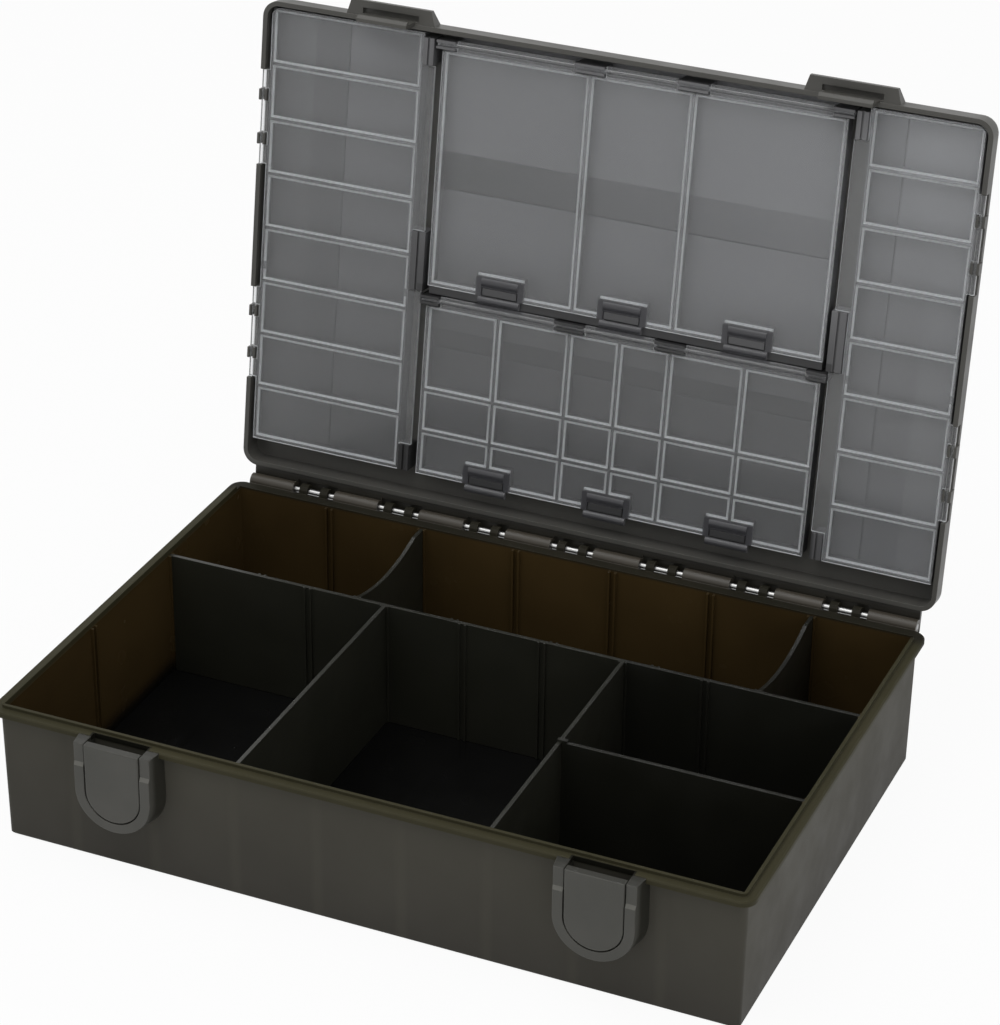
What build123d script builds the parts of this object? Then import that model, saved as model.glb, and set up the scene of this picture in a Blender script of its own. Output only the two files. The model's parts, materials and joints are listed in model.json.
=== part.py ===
# Flat plastic tackle box: a drafted tray with dividers, a hinged lid with clear snap doors over small
# cells, and two rocker latches on the front. Drawn with the lid leaning back, as it stands open.
# Millimetres. +X to the right, +Y to the hinge, +Z up, origin at the centre of the underside.
from build123d import *
import os
from math import cos, radians, sin, tan

# Tray
BASE_WIDTH = 350.8
BASE_DEPTH = 228.2
RIM_TOP = 67.2
DRAFT = 0.63
WALL = 2.0
FLOOR = 2.2
CORNER = 2.5
FOOT_EDGE = 1.2

# Rim: a flange around the outside, and a lip above it that stands inside the shut lid
RIM_OVERHANG = 3.6
RIM_HEIGHT = 2.6
RIM_CORNER = 7.0
RIM_EDGE = 0.6
RIM_NOTCH = 3.2
LIP = 1.5
LIP_RISE = 1.6
LIP_REAR = 5.0

# Dividers and the guides that hold them
DIVIDER = 1.8
DIVIDER_DROP = 1.2
DIVIDER_PLAY = 0.15
LONG_DIVIDER_Y = 39.5
SHORT_DIVIDER_Y = -35.0
FRONT_PITCH = 40.0
REAR_PITCH = 50.0
SLOTS = 6
GUIDE = 1.0
GUIDE_REACH = 0.9
GUIDE_DROP = 1.2
SCOOP_DIP = 5.0
SCOOP_LAND = 9.0
HOOK_LAP = 2.6
HOOK_THICK = 1.1

# Hinge: long lid knuckles with windows between them, a pair of short tray hooks over the pin in each window
HINGE_OFFSET = 5.2
HINGE_DROP = 1.2
KNUCKLE_R = 3.5
PIN_R = 1.5
PIN_FIT = 0.08
HINGE_PITCH = 46.0
WINDOW = 22.4
BARREL_MARGIN = 6.0
SHORT_KNUCKLE = 4.0
PIN_GAP = 7.0
ARM_THICK = 3.4
SEAT_LEG = 1.2
COVER_DROP = 4.2
COVER_CLEAR = 0.5
STOP_GAP = 0.15
LID_ANGLE = 98.6

# Lid shell
LID_SIDE_INSET = 0.15
LID_FRONT_INSET = 0.5
LID_REAR = 7.4
LID_DEEP = 13.0
PANEL = 2.0
LID_WALL = 2.3
LID_EDGE = 5.0
LID_CORNER = 8.0
SEAT_GAP = 0.2
FLANGE = 2.4
FLANGE_SET = 1.2
FLANGE_CLEAR = 0.6

# Cells in the lid
CELL_WALL = 1.2
CELL_EDGE = 0.8
SIDE_ROWS = 8
LEFT_CELLS = 78.6
RIGHT_CELLS = 52.6
STRIP = 10.8
REAR_MARGIN = 13.6
FRONT_MARGIN = 3.8
LOWER_CELLS = 85.8
SMALL_ROW = 21.35
NARROW_COLUMN = 25.4
MID_GAP = 7.5
UPPER_ROD_MARGIN = 7.6
ROD_TO_CELLS = 2.6
TAIL_CLEAR = 2.9
RAMP_RISE = 2.0
SIDE_RAMP = 38.0
SIDE_BREAK = 20.0
BREAK_RISE = 0.9
UPPER_RAMP = 19.0
UPPER_SHELF = 49.8
LOWER_RAMP = 10.0
LOWER_SHELF = 12.8

# Clear doors
DOOR_SET = 1.8
DOOR_SHEET = 1.4
DOOR_PLAY = 0.1
DOOR_LAP = 0.3
DOOR_EDGE_PLAY = 1.1
RIB = 0.9
RIB_PLAY = 0.25
RIB_DEEP = 1.2
ROD_R = 1.1
ROD_SET = 0.25
ROD_FIT = 0.08
ROD_INSET = 1.4
EDGE_CLEAR = 2.6
TAIL = 2.4
CLIP_ARM = 0.9
CLIP_MOUTH = 1.7
CLIP_TOP = 0.7
CLIP_PLAY = 0.6
CLIP_CLEAR = 3.0
CLIP_LENGTH = 15.0
CLIP_ROOT = 0.8
CLIP_OVER = 3.2
END_CLIP = 6.5
SITE = 47.0
SITE_REAR_MARGIN = 68.4
SITE_FRONT_MARGIN = 57.2
NUB = 5.3
NUB_PITCH = 21.7
NOTCH_DEEP = 5.2
FLANGE_LAP = 7.0
CATCH_NEAR = 1.0
CATCH_LAP = 6.4
CATCH_MID_LAP = 8.2
CATCH_TOP = 0.9
CATCH_PLAY = 0.4
CATCH_GROOVE = 1.0
CATCH_MID = 29.0
CATCH_END = 13.0
LOOP = 21.2
LOOP_DEEP = 9.2
LOOP_BAR = 3.6
LOOP_FRAME = 1.2
BAR_CROWN = 1.2
NIB_DEEP = 3.4
NIB_PLAY = 0.7
NIB_SET = 0.3
RIDGE = 4.2
RIDGE_SET = 0.2
RIDGE_CROWN = 0.8

# Latches
LATCH_INSET = 61.9
LATCH_STAND = 7.8
LATCH_TOP_DROP = 0.2
BEZEL_SIDE = 4.6
BEZEL_CHIN = 4.4
BEZEL_FLARE = 2.0
SHOULDER = 0.9
SHOULDER_RISE = 0.8
BUTTON_WIDTH = 26.8
BUTTON_HEIGHT = 36.8
BUTTON_GAP = 0.5
BUTTON_PLATE = 2.0
BUTTON_EDGE = 0.4
BUTTON_LAND = 1.9
PIVOT_DROP = 12.2
PIVOT_BACK = 1.6
HUB_R = 2.3
LATCH_PIN_R = 1.0
LATCH_PIN_FIT = 0.05
PIN_SEAT = 3.6
LEDGE_PLAY = 0.55
LEDGE_DROP = 6.2
LEDGE_LEAD = 2.9
LEAF = 0.5
LEAF_WIDTH = 9.0
LEAF_PLAY = 0.2
LEAF_FOOT = 6.0
LEAF_TIP_RISE = 4.5

# Lid hooks
HOOK_WIDTH = 45.4
HOOK_TIP = 41.2
HOOK_REACH = 7.2
HOOK_SET = 0.6
HOOK_LIP = 2.4
HOOK_DEEP = 7.0
HOOK_BROW = 3.4
HOOK_POCKET = 2.0
HOOK_SKIN = 1.6
HOOK_ROOT = 0.1
TONGUE_SIDE = 0.6
TONGUE = 1.7
TONGUE_SET = 1.25
TONGUE_DROP = 9.6
BARB = 1.3
BARB_HEIGHT = 2.8

# Worked-out places
SLOPE = tan(radians(DRAFT))
RIM_WIDTH = BASE_WIDTH + 2 * RIM_TOP * SLOPE + 2 * RIM_OVERHANG
RIM_DEPTH = BASE_DEPTH + 2 * RIM_TOP * SLOPE + 2 * RIM_OVERHANG
HINGE_Y = RIM_DEPTH / 2 + HINGE_OFFSET
HINGE_Z = RIM_TOP - HINGE_DROP
LONG_KNUCKLE = HINGE_PITCH - WINDOW
WINDOWS = int((RIM_WIDTH - 2 * BARREL_MARGIN - LONG_KNUCKLE) / HINGE_PITCH)
BARREL_HALF = WINDOWS * HINGE_PITCH / 2 + LONG_KNUCKLE / 2
DIVIDER_TOP = RIM_TOP - DIVIDER_DROP
FRONT_SLOTS = [(i - (SLOTS - 1) / 2) * FRONT_PITCH for i in range(SLOTS)]
REAR_SLOTS = [(i - (SLOTS - 1) / 2) * REAR_PITCH for i in range(SLOTS)]
CROSS_LEFT_X = FRONT_SLOTS[1]
CROSS_RIGHT_X = FRONT_SLOTS[-2]
SCOOP_LEFT_X = REAR_SLOTS[1]
SCOOP_RIGHT_X = REAR_SLOTS[-1]

# Lid places, in the lid's own frame: x as above, u from the hinge line to the free edge, h out of its inner side
LID_HALF = RIM_WIDTH / 2 - LID_SIDE_INSET
LID_FRONT = HINGE_OFFSET + RIM_DEPTH - LID_FRONT_INSET
LID_RIM = -(HINGE_DROP + SEAT_GAP)
LID_FLOOR = LID_RIM - LID_DEEP + PANEL
CELL_TOP = LID_RIM - DOOR_SET - DOOR_SHEET - DOOR_PLAY
SHEET_TOP = LID_RIM - DOOR_SET
SHEET_LOW = SHEET_TOP - DOOR_SHEET
ROD_H = SHEET_TOP - ROD_SET
SIDE_ROD_X = LID_HALF - ROD_INSET
SIDE_EDGE_X = SIDE_ROD_X - EDGE_CLEAR
SIDE_SITES = [LID_REAR + SITE_REAR_MARGIN, LID_FRONT - SITE_FRONT_MARGIN]
CELLS_REAR = LID_REAR + REAR_MARGIN
CELLS_FRONT = LID_FRONT - FRONT_MARGIN
LEFT_INNER_X = -SIDE_EDGE_X + LEFT_CELLS
RIGHT_INNER_X = SIDE_EDGE_X - RIGHT_CELLS
CENTRE_LEFT = LEFT_INNER_X + STRIP
CENTRE_RIGHT = RIGHT_INNER_X - STRIP
LOWER_TOP = CELLS_REAR + LOWER_CELLS
LOWER_ROD = LOWER_TOP + ROD_TO_CELLS
UPPER_LOW = LOWER_ROD + MID_GAP
UPPER_ROD = LID_FRONT - UPPER_ROD_MARGIN
UPPER_TOP = UPPER_ROD - ROD_TO_CELLS
WIDE_COLUMN = (CENTRE_RIGHT - CENTRE_LEFT - 2 * NARROW_COLUMN) / 4
COLUMN_STEPS = [WIDE_COLUMN, WIDE_COLUMN, NARROW_COLUMN, NARROW_COLUMN, WIDE_COLUMN, WIDE_COLUMN]
COLUMN_LINES = [CENTRE_LEFT + sum(COLUMN_STEPS[:i]) for i in range(7)]
LOOP_LINES = [COLUMN_LINES[1], COLUMN_LINES[3], COLUMN_LINES[5]]

# Latch places
LATCH_X = BASE_WIDTH / 2 - LATCH_INSET
LATCH_FRONT_Y = -(RIM_DEPTH / 2 + LATCH_STAND)
LATCH_TOP = RIM_TOP - LATCH_TOP_DROP
PIVOT_Y = LATCH_FRONT_Y + BUTTON_PLATE + PIVOT_BACK
PIVOT_Z = RIM_TOP - PIVOT_DROP
TONGUE_U = HINGE_OFFSET + RIM_DEPTH - TONGUE_SET
TONGUE_H = HINGE_Z - (RIM_TOP - TONGUE_DROP)
TONGUE_HALF = BUTTON_WIDTH / 2 - TONGUE_SIDE
LEDGE = HINGE_Y - TONGUE_U - TONGUE - LATCH_FRONT_Y - BUTTON_PLATE - LEDGE_PLAY
BEZEL_WIDTH = BUTTON_WIDTH + 2 * (BUTTON_GAP + BEZEL_SIDE)
BEZEL_HEIGHT = BUTTON_HEIGHT + BUTTON_GAP + BEZEL_CHIN

# Where the open lid stands
LID_PLACE = Pos(0, HINGE_Y, HINGE_Z) * Rot(180 - LID_ANGLE, 0, 0)


def block(x0, x1, y0, y1, z0, z1):
    """Box between two corners."""
    return Pos((x0 + x1) / 2, (y0 + y1) / 2, (z0 + z1) / 2) * Box(x1 - x0, y1 - y0, z1 - z0)


def panel(x0, x1, y0, y1):
    """Flat rectangle between two corners."""
    return Pos((x0 + x1) / 2, (y0 + y1) / 2) * Rectangle(x1 - x0, y1 - y0)


def rod_x(radius, x0, x1, y, z):
    """Round bar along X."""
    return Pos((x0 + x1) / 2, y, z) * Rot(0, 90, 0) * Cylinder(radius, x1 - x0)


def rod_y(radius, x, y0, y1, z):
    """Round bar along Y."""
    return Pos(x, (y0 + y1) / 2, z) * Rot(90, 0, 0) * Cylinder(radius, y1 - y0)


def prism(sketch, z0, z1):
    """Flat sketch on XY made solid between two heights."""
    return extrude(Pos(0, 0, z0) * sketch, z1 - z0)


def profile_along_x(points, x0, x1):
    """Closed outline of (y, z) points made solid from x0 to x1."""
    outline = make_face(Plane.YZ * Polyline(*points, close=True))
    return extrude(Pos(x0, 0, 0) * outline, x1 - x0, dir=(1, 0, 0))


def profile_along_y(points, y0, y1):
    """Closed outline of (x, z) points made solid from y0 to y1."""
    outline = make_face(Plane.XZ * Polyline(*points, close=True))
    return extrude(Pos(0, y0, 0) * outline, y1 - y0, dir=(0, 1, 0))


def drafted(plan, z0, z1):
    """Flat plan made solid with the tray's draft."""
    return extrude(Pos(0, 0, z0) * plan, z1 - z0, taper=-DRAFT)


def bore_x(radius, x0, x1, y, z):
    """Twelve-sided bore along X with room for a round bar."""
    return Pos(x0, y, z) * Rot(0, 90, 0) * extrude(RegularPolygon(radius, 12, major_radius=False), x1 - x0)


def crown(u0, u1, base, rise, x0, x1):
    """Bar along X with a flat foot and a rounded top."""
    with BuildSketch(Plane.YZ) as view:
        with BuildLine():
            ThreePointArc((u0, base), ((u0 + u1) / 2, base + rise), (u1, base))
            Line((u1, base), (u0, base))
        make_face()
    return extrude(Pos(x0, 0, 0) * view.sketch, x1 - x0, dir=(1, 0, 0))


# Tray


def rim_lip():
    """Lip that carries the wall up past the rim, along the front and both sides."""
    low, top = RIM_TOP - RIM_HEIGHT, RIM_TOP + LIP_RISE
    grow = 2 * (low * SLOPE - WALL + LIP)
    lip = drafted(RectangleRounded(BASE_WIDTH + grow, BASE_DEPTH + grow, CORNER), low, top)
    return lip - block(-RIM_WIDTH, RIM_WIDTH, BASE_DEPTH / 2 - LIP_REAR, RIM_DEPTH, RIM_TOP, top + 1)


def tray_outside():
    """Outer form of the tray with its rim and lip, still solid."""
    body = drafted(RectangleRounded(BASE_WIDTH, BASE_DEPTH, CORNER), 0, RIM_TOP)
    body = chamfer(body.edges().group_by(Axis.Z)[0], FOOT_EDGE)
    flange = prism(RectangleRounded(RIM_WIDTH, RIM_DEPTH, RIM_CORNER), RIM_TOP - RIM_HEIGHT, RIM_TOP)
    flange = chamfer(flange.edges().group_by(Axis.Z)[-1], RIM_EDGE)
    return body + flange + rim_lip()


def rim_notch(x):
    """Gap in the rim where the lid's hook passes down behind a latch button."""
    half = BUTTON_WIDTH / 2 + BUTTON_GAP
    front = -RIM_DEPTH / 2
    return block(x - half, x + half, front - 1, front + RIM_NOTCH, RIM_TOP - RIM_HEIGHT - 1, RIM_TOP + 1)


def tray_cavity(play=0.0):
    """Space inside the tray, shrunk by a play on every wall and the floor."""
    low = FLOOR + play
    inset = 2 * (WALL + play - low * SLOPE)
    return drafted(Rectangle(BASE_WIDTH - inset, BASE_DEPTH - inset), low, RIM_TOP + LIP_RISE + 1)


def guide_pair(x, wall_y, inward, root_depth):
    """Two upright ribs that hold a divider's edge, on a wall that faces the given way along Y."""
    near = DIVIDER / 2 + DIVIDER_PLAY
    root = wall_y - inward * root_depth
    tip = wall_y + inward * GUIDE_REACH
    ribs = []
    for side in (-1, 1):
        x0, x1 = sorted((x + side * near, x + side * (near + GUIDE)))
        ribs.append(block(x0, x1, min(root, tip), max(root, tip), FLOOR - WALL / 2, RIM_TOP - GUIDE_DROP))
    return ribs


def side_guides(y, inward):
    """Two upright ribs on a side wall that hold the end of a divider along X."""
    wall_x = -inward * (BASE_WIDTH / 2 - WALL + FLOOR * SLOPE)
    root = wall_x - inward * WALL * 0.9
    tip = wall_x + inward * GUIDE_REACH
    near = DIVIDER / 2 + DIVIDER_PLAY
    ribs = []
    for side in (-1, 1):
        y0, y1 = sorted((y + side * near, y + side * (near + GUIDE)))
        ribs.append(block(min(root, tip), max(root, tip), y0, y1, FLOOR - WALL / 2, RIM_TOP - GUIDE_DROP))
    return ribs


def hook_view():
    """Side view of a tray hook as (y, z) points: an arm from the rim and a back over the pin, open below."""
    front = RIM_DEPTH / 2 - RIM_OVERHANG
    seat = PIN_R + PIN_FIT
    arm = [(front, HINGE_Z), (front, HINGE_Z - ARM_THICK), (HINGE_Y - seat, HINGE_Z - ARM_THICK)]
    inside = []
    for angle in range(165, 0, -30):
        reach = seat / cos(radians(15))
        inside.append((HINGE_Y + reach * cos(radians(angle)), HINGE_Z + reach * sin(radians(angle))))
    leg = [(HINGE_Y + seat, HINGE_Z - SEAT_LEG), (HINGE_Y + KNUCKLE_R, HINGE_Z - SEAT_LEG)]
    back = []
    for angle in range(0, 181, 30):
        back.append((HINGE_Y + KNUCKLE_R * cos(radians(angle)), HINGE_Z + KNUCKLE_R * sin(radians(angle))))
    return arm + inside + leg + back


def tray_hooks():
    """Pairs of short hooks behind the rim, one pair in each window."""
    pieces = []
    view = hook_view()
    reach = PIN_GAP / 2 + SHORT_KNUCKLE / 2
    for i in range(WINDOWS):
        middle = (i - (WINDOWS - 1) / 2) * HINGE_PITCH
        for x in (middle - reach, middle + reach):
            pieces.append(profile_along_x(view, x - SHORT_KNUCKLE / 2, x + SHORT_KNUCKLE / 2))
    return pieces


def make_base_tray():
    inner_y = BASE_DEPTH / 2 - WALL + FLOOR * SLOPE
    tray = tray_outside() + tray_hooks()
    tray = tray - tray_cavity() - [rim_notch(-LATCH_X), rim_notch(LATCH_X)]
    guides = []
    for x in FRONT_SLOTS:
        guides += guide_pair(x, -inner_y, 1, WALL * 0.9)
    for x in REAR_SLOTS:
        guides += guide_pair(x, inner_y, -1, WALL * 0.9)
    for y in (SHORT_DIVIDER_Y, LONG_DIVIDER_Y):
        guides += side_guides(y, 1) + side_guides(y, -1)
    return tray + guides


# Dividers


def make_long_divider():
    """Full-width wall with guides for the cross dividers in front and the scoops behind."""
    half = DIVIDER / 2
    wall = block(-RIM_WIDTH / 2, RIM_WIDTH / 2, LONG_DIVIDER_Y - half, LONG_DIVIDER_Y + half, 0, DIVIDER_TOP)
    guides = []
    for x in FRONT_SLOTS:
        guides += guide_pair(x, LONG_DIVIDER_Y - half, -1, half)
    for x in REAR_SLOTS:
        guides += guide_pair(x, LONG_DIVIDER_Y + half, 1, half)
    return (wall + guides) & tray_cavity(DIVIDER_PLAY)


def make_cross_divider(x):
    """Front-row wall in the guides of the front wall and the long divider."""
    rear = LONG_DIVIDER_Y - DIVIDER / 2 - DIVIDER_PLAY
    wall = block(x - DIVIDER / 2, x + DIVIDER / 2, -RIM_DEPTH / 2, rear, 0, DIVIDER_TOP)
    return wall & tray_cavity(DIVIDER_PLAY)


def make_short_divider():
    """Wall from the right cross divider to the right wall, with a lug over the cross divider's top."""
    half = DIVIDER / 2
    start = CROSS_RIGHT_X + half + DIVIDER_PLAY
    top = DIVIDER_TOP + DIVIDER_PLAY
    wall = block(start, RIM_WIDTH / 2, SHORT_DIVIDER_Y - half, SHORT_DIVIDER_Y + half, 0, top + HOOK_THICK)
    wall = wall & tray_cavity(DIVIDER_PLAY)
    wall = wall - block(start + HOOK_LAP, RIM_WIDTH, -BASE_DEPTH, BASE_DEPTH, DIVIDER_TOP, RIM_TOP + 1)
    lug = block(CROSS_RIGHT_X - half, start, SHORT_DIVIDER_Y - half, SHORT_DIVIDER_Y + half, top, top + HOOK_THICK)
    return wall + lug


def make_scoop_divider(x):
    """Rear-row wall whose top edge dips in an arc between two level ends."""
    front = LONG_DIVIDER_Y + DIVIDER / 2 + DIVIDER_PLAY
    rear = RIM_DEPTH / 2
    dip_end = BASE_DEPTH / 2 - WALL - SCOOP_LAND
    with BuildPart() as wall:
        with BuildSketch(Plane.YZ.offset(x - DIVIDER / 2)):
            with BuildLine():
                Line((front, 0), (front, DIVIDER_TOP))
                ThreePointArc((front, DIVIDER_TOP), ((front + dip_end) / 2, DIVIDER_TOP - SCOOP_DIP),
                              (dip_end, DIVIDER_TOP))
                Polyline((dip_end, DIVIDER_TOP), (rear, DIVIDER_TOP), (rear, 0), (front, 0))
            make_face()
        extrude(amount=DIVIDER)
    return wall.part & tray_cavity(DIVIDER_PLAY)


# Latches, drawn about the middle of the box and moved to each side


def bow(width, top, low, y):
    """Flat D shape standing at a depth: straight sides, half-round lower end."""
    half = width / 2
    with BuildSketch(Plane.XZ.offset(-y)) as shape:
        with BuildLine():
            Line((-half, top), (-half, low + half))
            ThreePointArc((-half, low + half), (0, low), (half, low + half))
            Polyline((half, low + half), (half, top), (-half, top))
        make_face()
    return shape.sketch


def latch_pocket():
    """Space inside the bezel for the rocker, open at the front and the top."""
    low = LATCH_TOP - BUTTON_HEIGHT - BUTTON_GAP
    face = bow(BUTTON_WIDTH + 2 * BUTTON_GAP, RIM_TOP + LATCH_STAND, low, LATCH_FRONT_Y - 1)
    return extrude(face, RIM_DEPTH / 2, dir=(0, 1, 0))


def make_latch_housing():
    """U-shaped bezel that flares back to the front wall, set back at its shoulders, with seats for the pin."""
    low = LATCH_TOP - BEZEL_HEIGHT
    front = bow(BEZEL_WIDTH, LATCH_TOP, low, LATCH_FRONT_Y)
    root = bow(BEZEL_WIDTH + 2 * BEZEL_FLARE, LATCH_TOP, low - BEZEL_FLARE, -BASE_DEPTH / 2)
    bezel = loft([front, root], ruled=True) - latch_pocket() - tray_outside()
    step_z = PIVOT_Z + SHOULDER_RISE
    setback = LATCH_FRONT_Y + SHOULDER
    bezel = bezel - profile_along_x([(LATCH_FRONT_Y - 1, step_z), (LATCH_FRONT_Y, step_z),
                                     (setback, step_z + 2 * SHOULDER), (setback, RIM_TOP + 1),
                                     (LATCH_FRONT_Y - 1, RIM_TOP + 1)], -BEZEL_WIDTH, BEZEL_WIDTH)
    seat = BUTTON_WIDTH / 2 + BUTTON_GAP + PIN_SEAT
    return bezel - bore_x(LATCH_PIN_R + LATCH_PIN_FIT, -seat, seat, PIVOT_Y, PIVOT_Z)


def make_latch_button():
    """Rocker: D-shaped plate with a pivot hub and an inner ledge that holds the lid's hook."""
    half = BUTTON_WIDTH / 2
    top = LATCH_TOP
    plate = extrude(bow(BUTTON_WIDTH, top, top - BUTTON_HEIGHT, LATCH_FRONT_Y), BUTTON_PLATE, dir=(0, 1, 0))
    plate = chamfer(plate.faces().sort_by(Axis.Y)[0].edges(), BUTTON_EDGE)
    hub = rod_x(HUB_R, -half, half, PIVOT_Y, PIVOT_Z)
    back = LATCH_FRONT_Y + BUTTON_PLATE
    ledge = profile_along_x([(back - BUTTON_PLATE / 2, RIM_TOP - LEDGE_DROP), (back + LEDGE, RIM_TOP - LEDGE_DROP),
                             (back + LEDGE, top - LEDGE_LEAD), (back + BUTTON_LAND, top),
                             (back - BUTTON_PLATE / 2, top)],
                            -half, half)
    bore = bore_x(LATCH_PIN_R + LATCH_PIN_FIT, -half - 1, half + 1, PIVOT_Y, PIVOT_Z)
    return plate + hub + ledge - bore


def make_latch_pin():
    """Steel pivot through the rocker's hub and into both sides of the bezel."""
    half = BUTTON_WIDTH / 2 + BUTTON_GAP + PIN_SEAT - LATCH_PIN_FIT
    return rod_x(LATCH_PIN_R, -half, half, PIVOT_Y, PIVOT_Z)


def make_latch_spring():
    """Leaf spring: its foot lies on the tray's wall, its tip bears on the lower half of the rocker."""
    foot_top = PIVOT_Z - HUB_R
    wall_y = -(BASE_DEPTH / 2 + foot_top * SLOPE) - LEAF / 2 - DIVIDER_PLAY
    tip_y = LATCH_FRONT_Y + BUTTON_PLATE + LEAF / 2 + LEAF_PLAY
    tip_z = LATCH_TOP - BUTTON_HEIGHT + LEAF_TIP_RISE
    line = Polyline((wall_y, foot_top), (wall_y, foot_top - LEAF_FOOT), (tip_y, tip_z))
    strip = Plane.YZ * trace(line, LEAF)
    return extrude(Pos(-LEAF_WIDTH / 2, 0, 0) * strip, LEAF_WIDTH, dir=(1, 0, 0))


# Lid shell, in the lid's own frame


def lid_outside():
    """Outer form of the lid, rounded where its walls turn into the panel."""
    plan = RectangleRounded(2 * LID_HALF, LID_FRONT - LID_REAR, LID_CORNER)
    body = prism(Pos(0, (LID_FRONT + LID_REAR) / 2) * plan, LID_RIM - LID_DEEP, LID_RIM)
    return fillet(body.edges().group_by(Axis.Z)[0], LID_EDGE)


def lid_inner_plan(play=0.0):
    """Flat shape of the space inside the lid's walls, less a play."""
    inset = 2 * (LID_WALL + play)
    plan = RectangleRounded(2 * LID_HALF - inset, LID_FRONT - LID_REAR - inset, LID_CORNER - LID_WALL)
    return Pos(0, (LID_FRONT + LID_REAR) / 2) * plan


def lid_shell():
    """Lid panel with its walls."""
    return lid_outside() - prism(lid_inner_plan(), LID_FLOOR, LID_RIM + 1)


def lid_knuckles():
    """Long knuckles, the flange and cover behind them, and heels that stop the open lid on the rim."""
    flange_top = LID_RIM - FLANGE_SET
    pieces = [block(-BARREL_HALF, BARREL_HALF, KNUCKLE_R + FLANGE_CLEAR, LID_REAR + LID_WALL / 2,
                    flange_top - FLANGE, flange_top)]
    pieces.append(block(-BARREL_HALF, BARREL_HALF, -COVER_DROP, LID_REAR, flange_top - FLANGE,
                        -KNUCKLE_R - COVER_CLEAR))
    for i in range(WINDOWS + 1):
        middle = (i - WINDOWS / 2) * HINGE_PITCH
        x0, x1 = middle - LONG_KNUCKLE / 2, middle + LONG_KNUCKLE / 2
        pieces.append(rod_x(KNUCKLE_R, x0, x1, 0, 0))
        pieces.append(block(x0, x1, 0, LID_REAR, flange_top - FLANGE, flange_top))
        heel = block(x0, x1, RIM_DEPTH / 2 + STOP_GAP, HINGE_Y - PIN_R, HINGE_Z - ARM_THICK, HINGE_Z)
        pieces.append(LID_PLACE.inverse() * heel)
    return pieces


def lid_hook():
    """Latch hook: a thin tapered lug with a sloped back, a pocket in its inner side and a barbed tongue."""
    tip = LID_FRONT + HOOK_REACH
    inner = LID_FRONT - LID_WALL + HOOK_ROOT
    face = LID_RIM - HOOK_SET
    outline = Polyline((-HOOK_WIDTH / 2, inner), (-HOOK_WIDTH / 2, LID_FRONT), (-HOOK_TIP / 2, tip),
                       (HOOK_TIP / 2, tip), (HOOK_WIDTH / 2, LID_FRONT), (HOOK_WIDTH / 2, inner), close=True)
    lug = prism(make_face(outline), face - HOOK_DEEP, face)
    lug = lug & profile_along_x([(inner, face), (tip, face), (tip, face - HOOK_LIP), (LID_FRONT, face - HOOK_DEEP),
                                 (inner, face - HOOK_DEEP)], -HOOK_WIDTH, HOOK_WIDTH)
    face_u = TONGUE_U + TONGUE
    half = TONGUE_HALF
    pocket = block(-half - HOOK_SKIN, half + HOOK_SKIN, face_u, tip - HOOK_BROW, face - HOOK_POCKET, LID_RIM)
    catch_h = TONGUE_H - BARB_HEIGHT
    root = face - HOOK_DEEP / 2
    tongue = profile_along_x([(TONGUE_U, root), (face_u, root), (face_u, catch_h), (face_u + BARB, catch_h),
                              (face_u + BARB, catch_h + BARB), (face_u, TONGUE_H), (TONGUE_U, TONGUE_H)],
                             -half, half)
    return lug - pocket + tongue


def nub_lines(site):
    """The two clips of one hinge place."""
    return (site - NUB_PITCH / 2, site + NUB_PITCH / 2)


def clip_view(middle, foot):
    """Side view of a clip: two arms around an eight-sided seat for a rod, as points across and up."""
    seat = ROD_R + ROD_FIT
    flat = seat * tan(radians(22.5))
    mouth = CLIP_MOUTH / 2
    wide = seat + CLIP_ARM
    top = LID_RIM - CLIP_TOP
    lip = ROD_H + flat + seat - mouth
    right = [(wide, foot), (wide, top), (mouth, top), (mouth, lip), (seat, ROD_H + flat), (seat, ROD_H - flat),
             (flat, ROD_H - seat)]
    left = [(-across, up) for across, up in reversed(right)]
    return [(middle + across, up) for across, up in right + left]


def lid_side_clips(side):
    """Clips in the notches of one side wall that hold a side door's rods."""
    view = clip_view(side * SIDE_ROD_X, LID_RIM - NOTCH_DEEP - CLIP_ROOT)
    pieces = []
    for site in SIDE_SITES:
        for u in nub_lines(site):
            pieces.append(profile_along_y(view, u - NUB / 2, u + NUB / 2))
    return pieces


def make_lid_panel():
    shell = lid_shell()
    notches = []
    for side in (-1, 1):
        x0, x1 = sorted((side * (LID_HALF - LID_WALL - CLIP_ROOT), side * (LID_HALF + 1)))
        for site in SIDE_SITES:
            notches.append(block(x0, x1, site - SITE / 2, site + SITE / 2, LID_RIM - NOTCH_DEEP, LID_RIM + 1))
    shell = shell - notches
    shell = shell + lid_knuckles() - bore_x(PIN_R + PIN_FIT, -BARREL_HALF - 1, BARREL_HALF + 1, 0, 0)
    hooks = [Pos(side * LATCH_X, 0, 0) * lid_hook() for side in (-1, 1)]
    return shell + hooks + lid_side_clips(-1) + lid_side_clips(1)


# Cells of the lid: open spaces as flat shapes, walls between them


def spaces(lines):
    """Spaces between walls along a line: the end lines are outer faces, the others are middles of walls."""
    near = [lines[0] + CELL_EDGE] + [line + CELL_WALL / 2 for line in lines[1:-1]]
    far = [line - CELL_WALL / 2 for line in lines[1:-1]] + [lines[-1] - CELL_EDGE]
    return list(zip(near, far))


def cell_grid(x_lines, u_lines):
    """Rectangles between wall lines."""
    return [panel(x0, x1, u0, u1) for x0, x1 in spaces(x_lines) for u0, u1 in spaces(u_lines)]


def side_cells(outer, inner):
    """Eight cells of a side column between its outer and inner wall faces."""
    step = (CELLS_FRONT - CELLS_REAR) / SIDE_ROWS
    rows = [CELLS_REAR + i * step for i in range(SIDE_ROWS + 1)]
    return cell_grid(sorted((outer, inner)), rows)


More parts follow.
